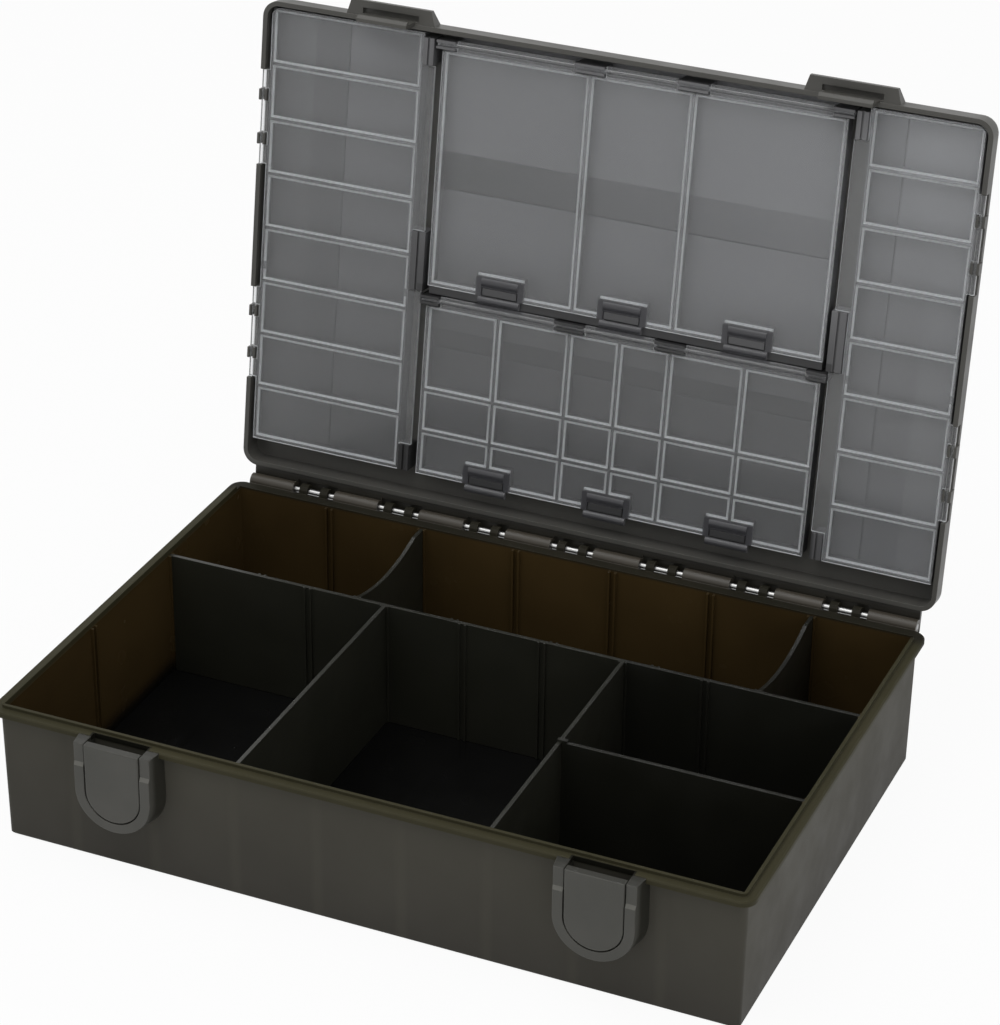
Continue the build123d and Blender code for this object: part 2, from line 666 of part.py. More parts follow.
def loop_bosses(low):
    """Solid places under the snap loops at a door's free edge."""
    return [panel(x - LOOP / 2, x + LOOP / 2, low, low + LOOP_DEEP) for x in LOOP_LINES]


def upper_cells():
    lines = [COLUMN_LINES[0], COLUMN_LINES[2], COLUMN_LINES[4], COLUMN_LINES[6]]
    return [cell - loop_bosses(UPPER_LOW) for cell in cell_grid(lines, [UPPER_LOW, UPPER_TOP])]


def lower_cells():
    rows = [CELLS_REAR, CELLS_REAR + SMALL_ROW, CELLS_REAR + 2 * SMALL_ROW, LOWER_TOP]
    return [cell - loop_bosses(CELLS_REAR) for cell in cell_grid(COLUMN_LINES, rows)]


def cell_field(outline, cells):
    """Walls of a field of cells, standing on the lid's floor."""
    return prism(outline - cells, LID_FLOOR, CELL_TOP)


def snap_nibs(low):
    """Catches on the bosses that stand in the loops of a door."""
    half = LOOP / 2 - LOOP_FRAME - NIB_PLAY
    return [block(x - half, x + half, low, low + NIB_DEEP, LID_FLOOR, SHEET_TOP - NIB_SET) for x in LOOP_LINES]


def clip_lines():
    """Start and end of the four clips along a centre door's rod."""
    lines = [(x - CLIP_LENGTH / 2, x + CLIP_LENGTH / 2) for x in (COLUMN_LINES[2], COLUMN_LINES[4])]
    first = (CENTRE_LEFT - CLIP_OVER, CENTRE_LEFT + END_CLIP)
    return [first] + lines + [(CENTRE_RIGHT - END_CLIP, CENTRE_RIGHT + CLIP_OVER)]


def rod_clips(rod, cells_top):
    """Clips for a centre door's rod, on feet against the wall of its cells."""
    seat = ROD_R + ROD_FIT
    view = clip_view(rod, LID_FLOOR)
    pieces = []
    for x0, x1 in clip_lines():
        pieces.append(profile_along_x(view, x0, x1))
        f0, f1 = max(x0, CENTRE_LEFT), min(x1, CENTRE_RIGHT)
        pieces.append(block(f0, f1, cells_top - CELL_EDGE / 2, rod - seat, LID_FLOOR, min(CELL_TOP, ROD_H - seat)))
    return pieces


def catch_lines():
    """Start, end and reach of the three catches along a side door's free edge."""
    middle = (LOWER_ROD + UPPER_LOW) / 2
    front = UPPER_ROD + ROD_R + ROD_FIT + CLIP_ARM
    return [(CELLS_REAR, CELLS_REAR + CATCH_END, CATCH_LAP), (middle, middle + CATCH_MID, CATCH_MID_LAP),
            (front - CATCH_END, front, CATCH_LAP)]


def catch_post(side, inner, u0, u1, lap):
    """Grooved post that a side door's free edge snaps against, on a foot joined to the cell wall."""
    near, far = inner - side * CATCH_NEAR, inner - side * lap
    top = LID_RIM - CATCH_TOP
    root = inner + side * CELL_EDGE / 2
    foot = block(min(root, far), max(root, far), u0, u1, LID_FLOOR, CELL_TOP)
    post = block(min(near, far), max(near, far), u0, u1, LID_FLOOR, top)
    middle = (near + far) / 2
    groove = block(middle - CATCH_GROOVE / 2, middle + CATCH_GROOVE / 2, u0 - 1, u1 + 1, top - CATCH_GROOVE, top + 1)
    return foot + post - groove


def make_side_cell_walls(side, inner):
    """Walls of a side column, with a ramp along the hinge side and three catch posts."""
    outer = side * SIDE_EDGE_X
    x0, x1 = sorted((outer, inner))
    walls = cell_field(panel(x0, x1, CELLS_REAR, CELLS_FRONT), side_cells(outer, inner))
    ramp = profile_along_y([(outer, LID_FLOOR), (outer, LID_FLOOR + RAMP_RISE),
                            (outer - side * CELL_EDGE, LID_FLOOR + RAMP_RISE),
                            (outer - side * SIDE_BREAK, LID_FLOOR + BREAK_RISE),
                            (outer - side * SIDE_RAMP, LID_FLOOR)], CELLS_REAR, CELLS_FRONT)
    posts = [catch_post(side, inner, u0, u1, lap) for u0, u1, lap in catch_lines()]
    return walls + ramp + posts - lid_shell()


def shelf(x0, x1, low, high, ramp):
    """Raised floor at the hinge side of a row of cells, with a ramp up to it."""
    return profile_along_x([(low - ramp, LID_FLOOR), (low, LID_FLOOR + RAMP_RISE), (high, LID_FLOOR + RAMP_RISE),
                            (high, LID_FLOOR)], x0, x1)


def make_upper_cell_walls():
    outline = panel(CENTRE_LEFT, CENTRE_RIGHT, UPPER_LOW, UPPER_TOP)
    walls = cell_field(outline, upper_cells())
    raised = shelf(CENTRE_LEFT, CENTRE_RIGHT, UPPER_TOP - UPPER_SHELF, UPPER_TOP, UPPER_RAMP)
    strip = block(CENTRE_LEFT, CENTRE_RIGHT, LOWER_ROD + TAIL_CLEAR, UPPER_LOW + CELL_EDGE / 2, LID_FLOOR, CELL_TOP)
    return walls + raised + strip + snap_nibs(UPPER_LOW) + rod_clips(UPPER_ROD, UPPER_TOP) - lid_shell()


def make_lower_cell_walls():
    outline = panel(CENTRE_LEFT, CENTRE_RIGHT, CELLS_REAR, LOWER_TOP)
    walls = cell_field(outline, lower_cells())
    raised = shelf(CENTRE_LEFT, CENTRE_RIGHT, LOWER_TOP - LOWER_SHELF, LOWER_TOP, LOWER_RAMP)
    return walls + raised + snap_nibs(CELLS_REAR) + rod_clips(LOWER_ROD, LOWER_TOP)


# Clear doors, in the lid's own frame


def door_ribs(cells):
    """Thin ribs under a door, one closed loop inside each cell."""
    loops = []
    for cell in cells:
        outer = offset(cell, -RIB_PLAY, kind=Kind.INTERSECTION)
        inner = offset(cell, -RIB_PLAY - RIB, kind=Kind.INTERSECTION)
        loops.append(prism(outer - inner, SHEET_LOW - RIB_DEEP, SHEET_LOW))
    return loops


def make_side_door(side, inner):
    """Side door: sheet, hinge rods in two places, ribs and notches for the catches."""
    outer = side * SIDE_EDGE_X
    rod = side * SIDE_ROD_X
    free = inner - side * FLANGE_LAP
    x0, x1 = sorted((outer, free))
    plan = panel(x0, x1, CELLS_REAR - DOOR_LAP, CELLS_FRONT + DOOR_LAP) & lid_inner_plan(DOOR_EDGE_PLAY)
    for u0, u1, lap in catch_lines():
        n0, n1 = sorted((inner - side * (CATCH_NEAR - CATCH_PLAY), free - side * lap))
        end = LID_FRONT if u1 > UPPER_ROD else u1 + CATCH_PLAY
        plan = plan - panel(n0, n1, u0 - CATCH_PLAY, end)
    rods = []
    w0, w1 = sorted((rod, outer))
    for site in SIDE_SITES:
        half = SITE / 2 - CATCH_PLAY
        web = panel(w0, w1, site - half, site + half)
        for u in nub_lines(site):
            web = web - panel(w0, w1, u - NUB / 2 - CLIP_PLAY, u + NUB / 2 + CLIP_PLAY)
        plan = plan + web
        rods.append(rod_y(ROD_R, rod, site - half, site + half, ROD_H))
    return prism(plan, SHEET_LOW, SHEET_TOP) + rods + door_ribs(side_cells(outer, inner))


def make_centre_door(cells, low, rod):
    """Centre door: sheet with a rod along its top and snap loops with rounded bars along its lower edge."""
    x0, x1 = CENTRE_LEFT - DOOR_LAP, CENTRE_RIGHT + DOOR_LAP
    bar_high = low - NIB_PLAY
    bar_low = bar_high - LOOP_BAR
    window_high = low + NIB_DEEP + NIB_PLAY
    window_half = LOOP / 2 - LOOP_FRAME
    ridge = window_high + RIDGE_SET
    plan = panel(x0, x1, low - DOOR_LAP, rod + TAIL)
    for c0, c1 in clip_lines():
        plan = plan - panel(c0 - CLIP_PLAY, c1 + CLIP_PLAY, rod - CLIP_CLEAR, rod + TAIL)
    rod_over = CLIP_OVER - CLIP_PLAY
    extras = [rod_x(ROD_R, CENTRE_LEFT - rod_over, CENTRE_RIGHT + rod_over, rod, ROD_H)]
    for x in LOOP_LINES:
        plan = plan + panel(x - LOOP / 2, x + LOOP / 2, bar_low, low)
        plan = plan - panel(x - window_half, x + window_half, bar_high, window_high)
        extras.append(crown(bar_low, bar_high, SHEET_TOP, BAR_CROWN, x - LOOP / 2, x + LOOP / 2))
        extras.append(crown(ridge, ridge + RIDGE, SHEET_TOP, RIDGE_CROWN, x - window_half, x + window_half))
    return prism(plan, SHEET_LOW, SHEET_TOP) + extras + door_ribs(cells)


def make_hinge_pin():
    return rod_x(PIN_R, -BARREL_HALF, BARREL_HALF, HINGE_Y, HINGE_Z)


def all_nodes():
    """Every piece of the box by name, in place."""
    nodes = {
        "base_tray": make_base_tray(),
        "long_divider": make_long_divider(),
        "cross_divider_left": make_cross_divider(CROSS_LEFT_X),
        "cross_divider_right": make_cross_divider(CROSS_RIGHT_X),
        "short_divider": make_short_divider(),
        "scoop_divider_left": make_scoop_divider(SCOOP_LEFT_X),
        "scoop_divider_right": make_scoop_divider(SCOOP_RIGHT_X),
        "hinge_pin": make_hinge_pin(),
    }
    latch = {
        "latch_housing": make_latch_housing(),
        "latch_button": make_latch_button(),
        "latch_pin": make_latch_pin(),
        "latch_spring": make_latch_spring(),
    }
    for side, x in (("left", -LATCH_X), ("right", LATCH_X)):
        for name, piece in latch.items():
            nodes[f"{side}_{name}"] = Pos(x, 0, 0) * piece
    lid = {
        "lid_panel": make_lid_panel(),
        "left_cell_walls": make_side_cell_walls(-1, LEFT_INNER_X),
        "right_cell_walls": make_side_cell_walls(1, RIGHT_INNER_X),
        "upper_cell_walls": make_upper_cell_walls(),
        "lower_cell_walls": make_lower_cell_walls(),
        "left_door": make_side_door(-1, LEFT_INNER_X),
        "right_door": make_side_door(1, RIGHT_INNER_X),
        "upper_door": make_centre_door(upper_cells(), UPPER_LOW, UPPER_ROD),
        "lower_door": make_centre_door(lower_cells(), CELLS_REAR, LOWER_ROD),
    }
    for name, piece in lid.items():
        nodes[name] = LID_PLACE * piece
    return nodes


os.makedirs("parts", exist_ok=True)
for node_name, solid in all_nodes().items():
    export_step(solid, f"parts/{node_name}.step")
    print(node_name, len(solid.solids()), round(solid.volume / 1000, 2), "cm3")
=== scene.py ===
import json
import math

import bpy
from mathutils import Matrix, Vector


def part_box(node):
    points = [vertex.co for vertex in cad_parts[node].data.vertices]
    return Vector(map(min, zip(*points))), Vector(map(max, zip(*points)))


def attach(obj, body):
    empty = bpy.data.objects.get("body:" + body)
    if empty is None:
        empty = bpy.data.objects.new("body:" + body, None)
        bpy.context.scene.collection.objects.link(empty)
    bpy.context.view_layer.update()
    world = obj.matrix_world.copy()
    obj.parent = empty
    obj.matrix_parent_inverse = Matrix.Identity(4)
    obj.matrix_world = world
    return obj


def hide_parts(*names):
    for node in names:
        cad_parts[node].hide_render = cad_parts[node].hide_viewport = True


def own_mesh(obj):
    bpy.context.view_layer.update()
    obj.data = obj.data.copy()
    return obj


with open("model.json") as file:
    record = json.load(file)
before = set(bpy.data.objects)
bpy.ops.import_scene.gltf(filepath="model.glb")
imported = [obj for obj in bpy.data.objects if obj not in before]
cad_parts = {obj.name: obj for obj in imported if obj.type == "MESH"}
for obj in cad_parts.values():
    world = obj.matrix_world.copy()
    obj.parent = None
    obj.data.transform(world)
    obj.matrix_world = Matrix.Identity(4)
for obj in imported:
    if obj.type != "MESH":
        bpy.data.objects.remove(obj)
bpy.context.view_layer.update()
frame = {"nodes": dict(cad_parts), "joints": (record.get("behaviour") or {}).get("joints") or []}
NODES = frame["nodes"]

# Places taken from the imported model, in metres
LID_HINGE = next(j for j in frame["joints"] if j["name"] == "lid_hinge")
HINGE_LINE = Vector(LID_HINGE["pos_m"])
LID_LEAN = math.radians(180.0 + LID_HINGE["range_deg"][0])
LID_OUT = Vector((0.0, -math.sin(LID_LEAN), math.cos(LID_LEAN)))
LID_UP = Vector((0.0, math.cos(LID_LEAN), math.sin(LID_LEAN)))
TRAY_LOW, TRAY_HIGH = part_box("base_tray")
LATCH_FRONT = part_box("left_latch_housing")[0].y
LATCH_X = sum(v.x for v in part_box("right_latch_button")) / 2

# Places across the open lid
LOOP_LINES = (-0.0493, 0.0130, 0.0753)
LOOP_HALF = 0.0122
CENTRE_SPAN = (-0.0862, 0.1122)
LEFT_WALL = -0.1756
LEFT_RAMP = (-0.1556, -0.1376)
RIGHT_RAMP = (0.1376, 0.1556)
LEFT_BORDER = (-0.0922, -0.0912)
RIGHT_BORDER = (0.1172, 0.1182)
LEFT_GAP = (-0.0968, -0.0864)
RIGHT_GAP = (0.1124, 0.1228)

# Places up the open lid, from the hinge line
LOOP_ROWS = (0.0210, 0.1169)
LOOP_BELOW = 0.006
LOOP_ABOVE = 0.009
LID_ROOT = (0.0045, 0.0085)
CELL_FIELD = (0.0210, 0.2378)
SIDE_SHADE = (0.03, 0.225)
RIGHT_SHADE = (0.1, 0.225)
LOWER_FOOT = 0.03
LOWER_SHELF = 0.0945
LOWER_ROD = 0.1094
DOOR_BORDER = (0.1118, 0.1122)
STRIP_TOP = (0.1168, 0.1170)
UPPER_FOOT = (0.119, 0.146)
UPPER_STEP = (0.16, 0.18)
UPPER_RAMP = (0.1626, 0.1816)

# Heights out of the lid's inner side
LID_BACK = (-0.0139, -0.0132)
CELL_FLOOR = (-0.0128, -0.0120)
RIB_TIPS = (-0.0049, -0.00475)
BARREL_R = 0.0035

# Heights on the tray and the latches
FLOOR_EDGE = (0.0012, 0.0018)
FLOOR_FADE = (0.0023, 0.014)
OUTSIDE_FADE = (0.0, 0.062)
RIM_FOOT = (0.0638, 0.0646)
RIM_LIP = (0.0655, 0.067)
SLOT_SHADE_FADE = (0.045, 0.055)
STEP_TOP = (0.0615, 0.0625)
SHOULDER = (0.062, 0.065)

# Other places on the tray and the latches
TRAY_INSET = 0.0048
INSET_FADE = 0.0006
REAR_RIM = (0.103, 0.112)
SINK_PITCH = 0.04
SLOT_HALF = 0.0145
SLOT_DEPTH = (0.0032, 0.0036)
LATCH_ROOT = (0.0012, 0.0055)
RIGHT_DIVIDER_SHADE = (0.06, 0.0625)

# Soft border of a painted stretch
BLUR = 0.0002

PLASTIC_IOR = 1.49
MOULD_GRAIN = 2600.0
ACROSS = (1.0, 0.0, 0.0)
UPRIGHT = (0.0, 0.0, 1.0)
WHITE = (1.0, 1.0, 1.0, 1.0)

# Camera fitted to the photograph: focal length and height in pixels, then place and directions
FOCAL_PIXELS = 3432.584
PHOTO_HEIGHT = 1025.0
SENSOR_HEIGHT = 36.0
CAMERA_PLACE = (0.538295, -1.208683, 0.877866)
CAMERA_RIGHT = Vector((0.9155747, 0.4020376, 0.0094176))
CAMERA_DOWN = Vector((0.2015787, -0.4385471, -0.8758096))
CAMERA_AHEAD = Vector((-0.3479783, 0.8037675, -0.4825649))


# Small helpers for shader trees


def new_material(name):
    """Empty material with an output and a Principled shader."""
    material = bpy.data.materials.new(name)
    material.use_nodes = True
    tree = material.node_tree
    tree.nodes.clear()
    out = tree.nodes.new("ShaderNodeOutputMaterial")
    shader = tree.nodes.new("ShaderNodeBsdfPrincipled")
    tree.links.new(shader.outputs["BSDF"], out.inputs["Surface"])
    return material, tree, shader, out


def object_place(tree):
    """Object coordinates."""
    return tree.nodes.new("ShaderNodeTexCoord").outputs["Object"]


def split_place(tree, place):
    """The three coordinates of a place."""
    node = tree.nodes.new("ShaderNodeSeparateXYZ")
    tree.links.new(place, node.inputs["Vector"])
    return node.outputs["X"], node.outputs["Y"], node.outputs["Z"]


def facing_way(tree):
    """Direction that the surface faces, in the piece's own frame, so that it turns with the piece."""
    return tree.nodes.new("ShaderNodeTexCoord").outputs["Normal"]


def noise(tree, place, scale, detail=3.0, roughness=0.5):
    """Noise value at a scale given in cycles a metre."""
    node = tree.nodes.new("ShaderNodeTexNoise")
    node.inputs["Scale"].default_value = scale
    node.inputs["Detail"].default_value = detail
    node.inputs["Roughness"].default_value = roughness
    tree.links.new(place, node.inputs["Vector"])
    return node.outputs["Fac"]


def remap(tree, value, span_from, span_to, smooth=False):
    """Value moved from one range to another, clamped."""
    node = tree.nodes.new("ShaderNodeMapRange")
    node.interpolation_type = "SMOOTHSTEP" if smooth else "LINEAR"
    node.inputs["From Min"].default_value = span_from[0]
    node.inputs["From Max"].default_value = span_from[1]
    node.inputs["To Min"].default_value = span_to[0]
    node.inputs["To Max"].default_value = span_to[1]
    tree.links.new(value, node.inputs["Value"])
    return node.outputs["Result"]


def rising(tree, value, stretch, top=1.0, smooth=False):
    """Nothing before a stretch, top after it."""
    return remap(tree, value, stretch, (0.0, top), smooth)


def falling(tree, value, stretch):
    """One before a stretch, nothing after it."""
    return remap(tree, value, stretch, (1.0, 0.0))


def inside(tree, value, stretch, soft=BLUR):
    """One inside a stretch, falling to nothing just outside it."""
    low, high = stretch
    rise = rising(tree, value, (low - soft, low))
    return math_node(tree, "MULTIPLY", rise, falling(tree, value, (high, high + soft)))


def math_node(tree, kind, a, b=None):
    """One arithmetic step on values or plain numbers."""
    node = tree.nodes.new("ShaderNodeMath")
    node.operation = kind
    for socket, value in zip(node.inputs, (a, b)):
        if value is None:
            continue
        if isinstance(value, (int, float)):
            socket.default_value = value
        else:
            tree.links.new(value, socket)
    return node.outputs["Value"]


def times(tree, *values):
    """Product of values or plain numbers."""
    product = values[0]
    for value in values[1:]:
        product = math_node(tree, "MULTIPLY", product, value)
    return product


def most(tree, *values):
    """Largest of several values."""
    largest = values[0]
    for value in values[1:]:
        largest = math_node(tree, "MAXIMUM", largest, value)
    return largest


def dot(tree, vector, direction):
    """Length of a vector along a fixed direction."""
    node = tree.nodes.new("ShaderNodeVectorMath")
    node.operation = "DOT_PRODUCT"
    tree.links.new(vector, node.inputs[0])
    node.inputs[1].default_value = direction
    return node.outputs["Value"]


def lid_place(tree, place, direction):
    """Distance from the hinge line along a direction of the lid."""
    return math_node(tree, "SUBTRACT", dot(tree, place, direction), HINGE_LINE.dot(direction))


def mix_colour(tree, factor, a, b):
    """Blend of two colours, each a socket or an RGB triple."""
    node = tree.nodes.new("ShaderNodeMix")
    node.data_type = "RGBA"
    tree.links.new(factor, node.inputs["Factor"])
    for socket, value in ((node.inputs[6], a), (node.inputs[7], b)):
        if isinstance(value, tuple):
            socket.default_value = (*value, 1.0)
        else:
            tree.links.new(value, socket)
    return node.outputs[2]


def mix_value(tree, factor, a, b):
    """Blend of two values, each a socket or a plain number."""
    node = tree.nodes.new("ShaderNodeMix")
    tree.links.new(factor, node.inputs["Factor"])
    for socket, value in ((node.inputs[2], a), (node.inputs[3], b)):
        if isinstance(value, (int, float)):
            socket.default_value = value
        else:
            tree.links.new(value, socket)
    return node.outputs[0]


def srgb(r, g, b):
    """Linear colour of an 8-bit screen colour."""
    steps = []
    for value in (r, g, b):
        value = value / 255.0
        steps.append(value / 12.92 if value <= 0.04045 else ((value + 0.055) / 1.055) ** 2.4)
    return tuple(steps)


def clouds(tree, place, scale):
    """Soft drifting patches, from nothing to one."""
    return rising(tree, noise(tree, place, scale, 3.0, 0.55), (0.3, 0.7))


def drift(tree, place, scale, low, high):
    """Value that wanders between two bounds, for roughness."""
    return remap(tree, noise(tree, place, scale, 2.0), (0.3, 0.7), (low, high))


def moulded_surface(tree, shader, place, grain, depth, edge, relief=None):
    """Fine grain on softened edges, over a broader relief where one is given. Gives back a patchy mask of
    the edges, for a painted highlight.
    """
    soft = tree.nodes.new("ShaderNodeBevel")
    soft.samples = 4
    soft.inputs["Radius"].default_value = edge
    normal = soft.outputs["Normal"]
    bend = tree.nodes.new("ShaderNodeVectorMath")
    bend.operation = "DOT_PRODUCT"
    tree.links.new(normal, bend.inputs[0])
    tree.links.new(tree.nodes.new("ShaderNodeNewGeometry").outputs["Normal"], bend.inputs[1])
    patchy = remap(tree, noise(tree, place, 160.0, 2.0), (0.35, 0.65), (0.3, 1.0))
    # Edges that the bevel rounds get a painted highlight, in patches.
    edge_highlight = times(tree, rising(tree, bend.outputs["Value"], (0.985, 0.85)), patchy)
    if relief is not None:
        dent = tree.nodes.new("ShaderNodeBump")
        dent.inputs["Strength"].default_value = 1.0
        dent.inputs["Distance"].default_value = 0.00012
        tree.links.new(relief, dent.inputs["Height"])
        tree.links.new(normal, dent.inputs["Normal"])
        normal = dent.outputs["Normal"]
    bump = tree.nodes.new("ShaderNodeBump")
    bump.inputs["Strength"].default_value = 0.35
    bump.inputs["Distance"].default_value = depth
    tree.links.new(noise(tree, place, grain, 2.0, 0.6), bump.inputs["Height"])
    tree.links.new(normal, bump.inputs["Normal"])
    tree.links.new(bump.outputs["Normal"], shader.inputs["Normal"])
    return edge_highlight


def highlight_edges(tree, edge_highlight, share, colour, pale):
    """Colour with a painted highlight on its edges."""
    return mix_colour(tree, times(tree, edge_highlight, share), colour, pale)


def plastic_shine(tree, shader, roughness, specular=0.5):
    """Shine of a moulded plastic."""
    tree.links.new(roughness, shader.inputs["Roughness"])
    shader.inputs["IOR"].default_value = PLASTIC_IOR
    shader.inputs["Specular IOR Level"].default_value = specular


# Finishes of the tray and its dividers


def sink_lines(tree, along, pitch):
    """Shallow upright lines where ribs stand on the other side of a wall: 1 on a line, 0 between."""
    turn = math_node(tree, "DIVIDE", along, pitch)
    away = math_node(tree, "SUBTRACT", math_node(tree, "FRACT", turn), 0.5)
    away = times(tree, math_node(tree, "ABSOLUTE", away), pitch)
    return remap(tree, away, (0.0006, 0.004), (1.0, 0.0), True)


def tray_outside(tree, x, y, z, cloud, lines):
    """Olive outside of the tray, paler towards the rim, with a painted highlight on the sink lines, painted
    shade of the open lid over the rear rim and the hinge knuckles, and painted shade in the latch slots.
    """
    low = mix_colour(tree, cloud, srgb(63, 61, 56), srgb(68, 66, 61))
    high = mix_colour(tree, cloud, srgb(72, 70, 63), srgb(77, 75, 67))
    colour = mix_colour(tree, rising(tree, z, OUTSIDE_FADE), low, high)
    # Painted highlight along the sink lines.
    colour = mix_colour(tree, times(tree, lines, 0.3), colour, srgb(80, 78, 70))
    rim = mix_colour(tree, cloud, srgb(52, 50, 35), srgb(59, 56, 40))
    colour = mix_colour(tree, rising(tree, z, RIM_FOOT), colour, rim)
    # Painted shade of the open lid on the rear rim and the hinge knuckles.
    lid_shade = mix_colour(tree, cloud, srgb(24, 23, 19), srgb(31, 29, 24))
    rear = times(tree, rising(tree, y, REAR_RIM, smooth=True), rising(tree, z, RIM_FOOT, 0.85))
    colour = mix_colour(tree, rear, colour, lid_shade)
    # Painted shade in the recessed latch slots, near black, fading out lower down.
    beside = math_node(tree, "ABSOLUTE", x)
    slot_shade = inside(tree, beside, (LATCH_X - SLOT_HALF, LATCH_X + SLOT_HALF), 0.0003)
    front = falling(tree, y, [TRAY_LOW.y + depth for depth in SLOT_DEPTH])
    slot_shade = times(tree, slot_shade, front, rising(tree, z, SLOT_SHADE_FADE, 0.9))
    return mix_colour(tree, slot_shade, colour, srgb(14, 14, 12))


def tray_inner(tree, x, y, z):
    """One on the inner walls and the floor of the tray."""
    half_x = (TRAY_HIGH.x - TRAY_LOW.x) / 2 - TRAY_INSET
    half_y = -TRAY_LOW.y - TRAY_INSET
    in_x = falling(tree, math_node(tree, "ABSOLUTE", x), (half_x - INSET_FADE, half_x))
    in_y = falling(tree, math_node(tree, "ABSOLUTE", y), (half_y - INSET_FADE, half_y))
    return times(tree, in_x, in_y, rising(tree, z, FLOOR_EDGE), falling(tree, z, RIM_LIP))


def tray_plastic():
    """Dark moulding: olive satin outside with faint sink lines; inside, walls painted brown for light
    shining through them and a floor painted near black for the shade at the bottom; painted highlights on
    the edges.
    """
    material, tree, shader, _ = new_material("tray_plastic")
    place = object_place(tree)
    x, y, z = split_place(tree, place)
    lines = sink_lines(tree, x, SINK_PITCH)
    sunk = times(tree, lines, -1.0)
    edge_highlight = moulded_surface(tree, shader, place, MOULD_GRAIN, 0.00004, 0.0004, sunk)
    cloud = clouds(tree, place, 14.0)
    outer = highlight_edges(tree, edge_highlight, 0.4, tray_outside(tree, x, y, z, cloud, lines), srgb(104, 101, 86))
    # Painted light and shade inside the tray: walls painted brown for light shining through them, the floor
    # painted near black for shade, blending up the walls.
    walls = mix_colour(tree, cloud, srgb(56, 44, 25), srgb(69, 55, 32))
    floor = mix_colour(tree, cloud, srgb(10, 10, 10), srgb(15, 15, 14))
    hollow_light_and_shade = mix_colour(tree, rising(tree, z, FLOOR_FADE, smooth=True), floor, walls)
    inner = tray_inner(tree, x, y, z)
    tree.links.new(mix_colour(tree, inner, outer, hollow_light_and_shade), shader.inputs["Base Color"])
    satin = drift(tree, place, 60.0, 0.52, 0.62)
    polish = drift(tree, place, 60.0, 0.2, 0.28)
    plastic_shine(tree, shader, mix_value(tree, inner, satin, polish), 0.1)
    return material


def divider_plastic():
    """Smooth dark moulding of the loose dividers, with painted shade on the dividers at the right and
    painted highlights on the edges.
    """
    material, tree, shader, _ = new_material("divider_plastic")
    place = object_place(tree)
    edge_highlight = moulded_surface(tree, shader, place, 2200.0, 0.00002, 0.0003)
    cloud = clouds(tree, place, 16.0)
    colour = mix_colour(tree, cloud, srgb(32, 32, 26), srgb(39, 39, 32))
    # Painted shade on the dividers at the right.
    right_shade = rising(tree, dot(tree, place, ACROSS), RIGHT_DIVIDER_SHADE, 0.55)
    colour = mix_colour(tree, right_shade, colour, srgb(10, 10, 8))
    tree.links.new(highlight_edges(tree, edge_highlight, 0.3, colour, srgb(70, 70, 64)), shader.inputs["Base Color"])
    plastic_shine(tree, shader, drift(tree, place, 50.0, 0.3, 0.4))
    return material


def drawn_steel():
    """Bright drawn wire with fine lines around it."""
    material, tree, shader, _ = new_material("drawn_steel")
    squeeze = tree.nodes.new("ShaderNodeMapping")
    squeeze.inputs["Scale"].default_value = (1.0, 6.0, 6.0)
    tree.links.new(object_place(tree), squeeze.inputs["Vector"])
    lines = noise(tree, squeeze.outputs["Vector"], 900.0, 3.0)
    tree.links.new(remap(tree, lines, (0.3, 0.7), (0.24, 0.4)), shader.inputs["Roughness"])
    shine = mix_colour(tree, rising(tree, lines, (0.35, 0.65)), (0.3, 0.3, 0.3), (0.44, 0.44, 0.43))
    tree.links.new(shine, shader.inputs["Base Color"])
    shader.inputs["Metallic"].default_value = 1.0
    return material


# Finishes of the lid, its cells and its doors


def snap_loops(tree, place):
    """One on the three snap loops of each centre door, nothing elsewhere."""
    along = dot(tree, place, ACROSS)
    up = lid_place(tree, place, LID_UP)
    columns = [inside(tree, along, (line - LOOP_HALF, line + LOOP_HALF)) for line in LOOP_LINES]
    rows = [inside(tree, up, (low - LOOP_BELOW, low + LOOP_ABOVE)) for low in LOOP_ROWS]
    return times(tree, most(tree, *columns), most(tree, *rows))


